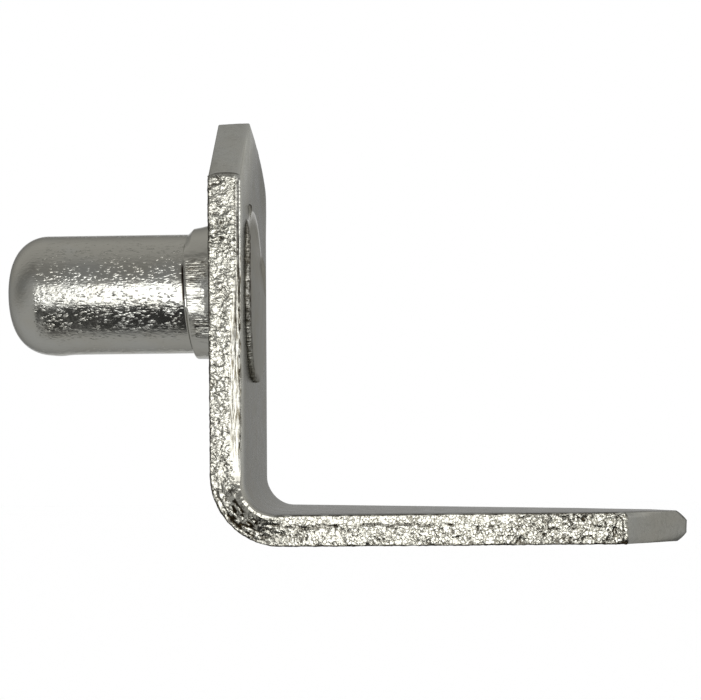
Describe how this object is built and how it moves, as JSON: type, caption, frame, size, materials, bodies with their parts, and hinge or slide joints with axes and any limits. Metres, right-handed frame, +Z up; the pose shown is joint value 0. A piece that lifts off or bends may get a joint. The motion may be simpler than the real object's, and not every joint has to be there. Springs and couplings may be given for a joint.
{
  "type": "shelf support pin",
  "caption": "L-shaped shelf support: a folded steel plate with cut corners and a round-tipped 5 mm pin riveted through its upright leg.",
  "frame": {"origin": "on the pin's axis at the shoulder, where the straight shank begins and the mouth of the cabinet's hole sits", "axes": "-X along the pin towards its tip, +X along the ledge under the shelf, +Z up, and the Y = 0 plane is the plane of symmetry"},
  "size_m": [0.0273, 0.011, 0.0168],
  "materials": {
    "plated_plate": "satin nickel plate on blanked and folded steel sheet, its sheared edges left rough",
    "plated_pin": "satin nickel plate on a turned steel stud"
  },
  "bodies": {
    "root": {"bracket": "plated_plate", "pin": "plated_pin"}
  },
  "joints": []
}
